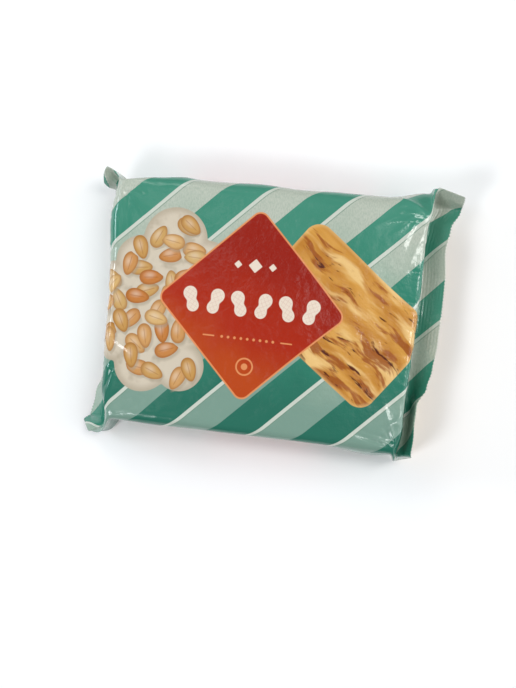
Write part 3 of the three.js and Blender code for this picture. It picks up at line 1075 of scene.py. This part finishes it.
def red_label(tree, place, under):
    """The middle field: a red rhombus with a fine rim, a row of peanuts and a few small ornaments."""
    u, v = tree.split(place)
    distance = rhombus(tree, place, (0, 0), LABEL_HALF, LABEL_CORNER)
    height = v + u * LABEL_SLANT + (tree.grain(place, LABEL_GRAIN) - 0.5) * LABEL_PATCH
    field = tree.lay(distance - LABEL_RIM, under, PEACH)
    field = tree.lay(distance, field, shaded(tree, height, REDS, RED_HEIGHTS))
    field = lay_pods(tree, place, LABEL_PODS, field)

    # Three small rhombi above the row, then a dotted line between two dashes, and a ring with a dot.
    for centre, half in LABEL_MARKS:
        field = tree.lay(rhombus(tree, place, centre, half, MARK_CORNER), field, IVORY)
    to_dot = tree.apart(tree.paired(tree.math("PINGPONG", u, DOT_PITCH / 2), v - DOT_ROW), (0, 0, 0))
    dots = tree.math("MAXIMUM", to_dot - DOT_SIZE, abs(u) - DOTS_REACH)
    in_dash = tree.paired(abs(u) - DASH_CENTRE, v - DOT_ROW)
    dashes = rounded_box(tree, in_dash, DASH_HALF, DASH_CORNER)
    to_ring = tree.apart(place, RING_CENTRE)
    ring = tree.math("MINIMUM", abs(to_ring - RING_SIZE) - RING_LINE, to_ring - RING_DOT)
    for ornament in (dots, dashes, ring):
        field = tree.lay(ornament, field, PEACH)
    return field


def side_panels(tree, place, under):
    """On each long side: a small red rhombus and a long red bar with pointed ends and a row of peanuts."""
    u, v = tree.split(place)
    upright = tree.math("SIGN", v) * -1.0
    panel = tree.paired(u * upright, v * upright + PANEL_CENTRE)
    small = rhombus(tree, panel, RHOMBUS_CENTRE, RHOMBUS_HALF, RHOMBUS_CORNER)
    bar_place = tree.placed(panel, BAR_CENTRE)
    bar_u, bar_v = tree.split(bar_place)
    pointed = (abs(bar_u) + abs(bar_v) - BAR_HALF) * math.sqrt(0.5)
    bar = tree.math("MAXIMUM", pointed, abs(bar_v) - BAR_RISE)
    red = tree.math("MINIMUM", small, bar)
    field = tree.lay(red - LABEL_RIM, under, PEACH)
    field = tree.lay(red, field, RED)
    field = lay_pods(tree, bar_place, PANEL_PODS, field)
    mark = rhombus(tree, panel, RHOMBUS_CENTRE, PANEL_MARK, PANEL_MARK_CORNER)
    return tree.lay(mark, field, IVORY)


def plain_back(tree, place, under):
    """The beige back with a thin frame, and the tone of the long seam that lies along its middle."""
    u, v = tree.split(place)
    clouds = tree.fade(tree.grain(place, BACK_GRAIN), *BACK_SPAN)
    field = tree.lay(BACK_START - abs(v), under, tree.blend(clouds * BACK_SHARE, BEIGE, CREAM))
    frame_line = abs(abs(v) - BACK_START - FRAME_INSET) - FRAME_LINE
    frame_line = tree.math("MAXIMUM", frame_line, abs(u) - FRAME_HALF)
    field = tree.lay(frame_line, field, BEIGE_LINE)
    return tree.lay(abs(v - SEAM_EDGE) - SEAM_LINE, field, BEIGE_LINE, SEAM_SOFT)


def film_bump(tree, place, shader):
    """The slight unevenness of film that has been drawn over a block and pressed."""
    height = tree.grain(place, BROAD_GRAIN, 3.0) + tree.grain(place, SMALL_GRAIN) * SMALL_SHARE
    bump = tree.node("ShaderNodeBump", {"Height": height, "Distance": BUMP_DEPTH * MM, "Strength": 1.0})
    tree.join(bump.outputs[0], shader.inputs["Normal"])


def printed_film():
    """Glossy film with the whole print on it."""
    material = bpy.data.materials.new("printed_glossy_film")
    material.use_nodes = True
    tree = Tree(material.node_tree)
    shader = material.node_tree.nodes["Principled BSDF"]
    place = tree.node("ShaderNodeUVMap", uv_map="film").outputs[0]
    u, v = tree.split(place)
    colours = stripes(tree, place, u, v)
    for field in (side_panels, marbled_field, cream_cloud, red_label, plain_back):
        colours = field(tree, place, colours)
    tree.join(colours, shader.inputs["Base Color"])
    film_bump(tree, place, shader)
    shader.inputs["Roughness"].default_value = FILM_ROUGHNESS
    return material


# -------------------------------- floor, light and camera


# Each light's place, aim and size in metres, its power in watts and its tint.
MIDDLE = (0, 0, 0.02)
LIGHTS = {
    "key_light": ((-0.45, 0.55, 0.7), MIDDLE, (0.5, 0.5), 2.0, (1.0, 0.98, 0.95)),
    "fill_light": ((0.5, 0.1, 0.7), MIDDLE, (0.6, 0.3), 1.3, (0.97, 0.98, 1.0)),
    "front_light": ((-0.42, -0.45, 0.8), MIDDLE, (0.3, 0.3), 3.4, (0.97, 0.98, 1.0)),
    "top_light": ((0.32, 0.15, 0.9), MIDDLE, (0.2, 0.3), 2.4, (1.0, 0.99, 0.97)),
    "left_light": ((-0.6, 0.1, 0.35), (-0.05, 0, 0.02), (0.2, 0.12), 1.4, (0.8, 0.9, 1.0)),
    "right_light": ((0.7, 0.05, 0.2), (0.06, 0, 0.012), (0.5, 0.16), 1.8, (0.92, 0.98, 1.0)),
}

# Dim panels overhead that the face mirrors as broad soft sheens: their middles and sizes in metres.
CEILING = 1.0
CEILING_PANELS = [
    ((-0.2125, 0.15), (0.12, 0.09)),
    ((0.0645, 0.1125), (0.06, 0.165)),
    ((-0.22, -0.063), (0.10, 0.077)),
]
PANEL_GLOW = 1.7
PANEL_TINT = (0.96, 1.0, 0.98)

FLOOR_HALF = 3.0
FLOOR_COLOUR = (0.94, 0.94, 0.94, 1)
FLOOR_ROUGHNESS = 0.9
SKY_COLOUR = (0.92, 0.95, 1.0, 1)
SKY_STRENGTH = 0.18

# The camera: its focal length in pixels of the photograph, its place in millimetres in the part's frame, and
# its turn in degrees about X, Y and Z from looking straight down.
CAMERA_FOCAL = 1197.0
PHOTO_HEIGHT = 688.0
CAMERA_PLACE = (39.996, -21.165, 466.017)
CAMERA_TURN = (1.755, 4.895, 6.588)
SENSOR_HEIGHT = 24.0
NEAREST = 0.01


def soft_light(name, place, aim, size, power, tint):
    data = bpy.data.lights.new(name, "AREA")
    data.shape = "RECTANGLE"
    data.size, data.size_y = size
    data.energy = power
    data.color = tint
    lamp = bpy.data.objects.new(name, data)
    lamp.location = place
    lamp.rotation_euler = (Vector(aim) - Vector(place)).to_track_quat("-Z", "Y").to_euler()
    bpy.context.scene.collection.objects.link(lamp)


def pale_floor():
    mesh = bpy.data.meshes.new("studio_floor")
    corners = [(x * FLOOR_HALF, y * FLOOR_HALF, 0) for x, y in ((-1, -1), (1, -1), (1, 1), (-1, 1))]
    mesh.from_pydata(corners, [], [(0, 1, 2, 3)])
    floor = bpy.data.objects.new("studio_floor", mesh)
    bpy.context.scene.collection.objects.link(floor)
    paint = bpy.data.materials.new("pale_floor")
    paint.use_nodes = True
    shader = paint.node_tree.nodes["Principled BSDF"]
    shader.inputs["Base Color"].default_value = FLOOR_COLOUR
    shader.inputs["Roughness"].default_value = FLOOR_ROUGHNESS
    mesh.materials.append(paint)


def studio():
    """A pale floor under a dim even sky, with soft lights and the dim panels overhead."""
    pale_floor()
    world = bpy.data.worlds.new("studio")
    world.use_nodes = True
    sky = world.node_tree.nodes["Background"]
    sky.inputs["Color"].default_value = SKY_COLOUR
    sky.inputs["Strength"].default_value = SKY_STRENGTH
    bpy.context.scene.world = world
    bpy.context.scene.view_settings.view_transform = "Standard"
    for name, facts in LIGHTS.items():
        soft_light(name, *facts)
    for number, (place, size) in enumerate(CEILING_PANELS):
        power = PANEL_GLOW * math.pi * size[0] * size[1]
        soft_light(f"ceiling_panel_{number}", (*place, CEILING), (*place, 0), size, power, PANEL_TINT)


def camera():
    """The photograph's view, from its solved place and turn."""
    data = bpy.data.cameras.new("camera")
    data.sensor_fit = "VERTICAL"
    data.sensor_height = SENSOR_HEIGHT
    data.lens = data.sensor_height * CAMERA_FOCAL / PHOTO_HEIGHT
    data.clip_start = NEAREST
    eye = bpy.data.objects.new("camera", data)
    turn = Euler([angle * DEGREE for angle in CAMERA_TURN])
    eye.matrix_world = Matrix.LocRotScale(Vector(CAMERA_PLACE) * MM, turn, None)
    bpy.context.scene.collection.objects.link(eye)
    bpy.context.scene.camera = eye


# -------------------------------- the pack


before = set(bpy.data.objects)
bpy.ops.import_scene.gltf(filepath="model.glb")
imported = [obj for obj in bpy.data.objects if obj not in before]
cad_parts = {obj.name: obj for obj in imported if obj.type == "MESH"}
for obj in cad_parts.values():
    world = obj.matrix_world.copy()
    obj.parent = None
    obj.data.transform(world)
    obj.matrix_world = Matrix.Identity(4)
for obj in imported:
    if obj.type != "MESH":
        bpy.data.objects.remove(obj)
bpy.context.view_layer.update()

camera()
studio()
wrapper = crimped_wrapper(printed_film())
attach(wrapper, "root")
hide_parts(NODE)
